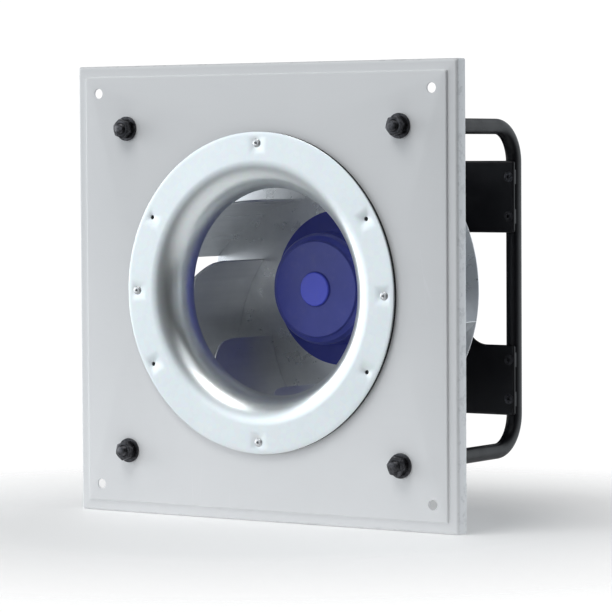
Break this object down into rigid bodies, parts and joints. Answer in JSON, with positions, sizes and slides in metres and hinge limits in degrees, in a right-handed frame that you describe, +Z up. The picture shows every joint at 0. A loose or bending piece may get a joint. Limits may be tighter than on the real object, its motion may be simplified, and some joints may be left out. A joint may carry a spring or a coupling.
{
  "type": "centrifugal fan",
  "caption": "Centrifugal plug fan: square inlet panel with bell-mouth nozzle, backward-curved impeller on a blue external-rotor motor, carried by bent tubes and a motor plate.",
  "frame": {"origin": "on the fan axis, in the front face of the inlet panel, at the centre of the corner holes", "axes": "+Y along the fan axis, from the inlet towards the motor; +X to the right seen from the inlet side; +Z up"},
  "size_m": [0.5, 0.2626, 0.5],
  "materials": {
    "panel_paint": "light grey coated sheet steel, faint mottling",
    "nozzle_paint": "off-white smooth coated sheet, satin",
    "gasket_rubber": "dark cellular rubber",
    "rivet_metal": "plain pop rivet",
    "bracket_black": "black powder coat, satin",
    "black_hardware": "black oxide fasteners, oiled",
    "zinc_hardware": "zinc plated fasteners",
    "impeller_metal": "bare sheet aluminium, satin",
    "rotor_blue": "blue enamel, satin gloss",
    "magnet": "sintered ferrite",
    "steel": "ground steel",
    "bearing_steel": "polished bearing steel",
    "cage_brass": "pressed cage",
    "core_steel": "stacked laminations",
    "insulator": "moulded nylon",
    "copper": "enamelled copper wire",
    "cast_aluminium": "die cast, matt",
    "board_green": "circuit board laminate",
    "black_plastic": "moulded plastic, fine grain",
    "terminal_plastic": "moulded plastic"
  },
  "bodies": {
    "fan_frame": {"inlet_panel": "panel_paint", "inlet_nozzle": "nozzle_paint", "nozzle_gasket": "gasket_rubber", "nozzle_rivets": "rivet_metal", "left_support_tube": "bracket_black", "right_support_tube": "bracket_black", "tube_end_bushes": "steel", "support_studs": "black_hardware", "stud_washers": "black_hardware", "rear_washers": "black_hardware", "stud_nuts": "black_hardware", "motor_plate": "bracket_black", "tube_saddles": "bracket_black", "plate_screws": "black_hardware", "plate_inserts": "steel", "front_bearing_outer_ring": "bearing_steel", "rear_bearing_outer_ring": "bearing_steel", "stator_carrier": "cast_aluminium", "stator_core": "core_steel", "slot_insulators": "insulator", "stator_windings": "copper", "electronics_housing": "cast_aluminium", "carrier_screws": "zinc_hardware", "circuit_board": "board_green", "board_screws": "zinc_hardware", "board_capacitors": "black_plastic", "board_power_module": "black_plastic", "terminal_block": "terminal_plastic", "terminal_screws": "zinc_hardware", "cover_gasket": "gasket_rubber", "rear_cover": "black_plastic", "cover_screws": "zinc_hardware", "motor_washers": "zinc_hardware", "motor_bolts": "zinc_hardware", "cable_glands": "black_plastic", "gland_nuts": "black_plastic", "gland_seals": "gasket_rubber"},
    "impeller": {"impeller_shroud": "impeller_metal", "impeller_backplate": "impeller_metal", "impeller_blades": "impeller_metal", "balance_clips": "zinc_hardware", "rotor_cup": "rotor_blue", "rotor_magnets": "magnet", "rotor_shaft": "steel", "shaft_circlip": "black_hardware", "impeller_screws": "zinc_hardware", "front_bearing_inner_ring": "bearing_steel", "rear_bearing_inner_ring": "bearing_steel"},
    "front_bearing_roller_set": {"front_bearing_balls": "bearing_steel", "front_bearing_cage": "cage_brass"},
    "rear_bearing_roller_set": {"rear_bearing_balls": "bearing_steel", "rear_bearing_cage": "cage_brass"}
  },
  "joints": [
    {"name": "impeller_spin", "type": "hinge", "parent": "fan_frame", "child": "impeller", "pos_m": [0, 0.131, 0], "axis": [0, 1, 0], "continuous": true},
    {"name": "front_bearing_roll", "type": "hinge", "parent": "fan_frame", "child": "front_bearing_roller_set", "pos_m": [0, 0.131, 0], "axis": [0, 1, 0], "continuous": true},
    {"name": "rear_bearing_roll", "type": "hinge", "parent": "fan_frame", "child": "rear_bearing_roller_set", "pos_m": [0, 0.197, 0], "axis": [0, 1, 0], "continuous": true}
  ],
  "couplings": [
    {"joint": "front_bearing_roll", "follows": "impeller_spin", "ratio": 0.3727},
    {"joint": "rear_bearing_roll", "follows": "impeller_spin", "ratio": 0.3727}
  ]
}
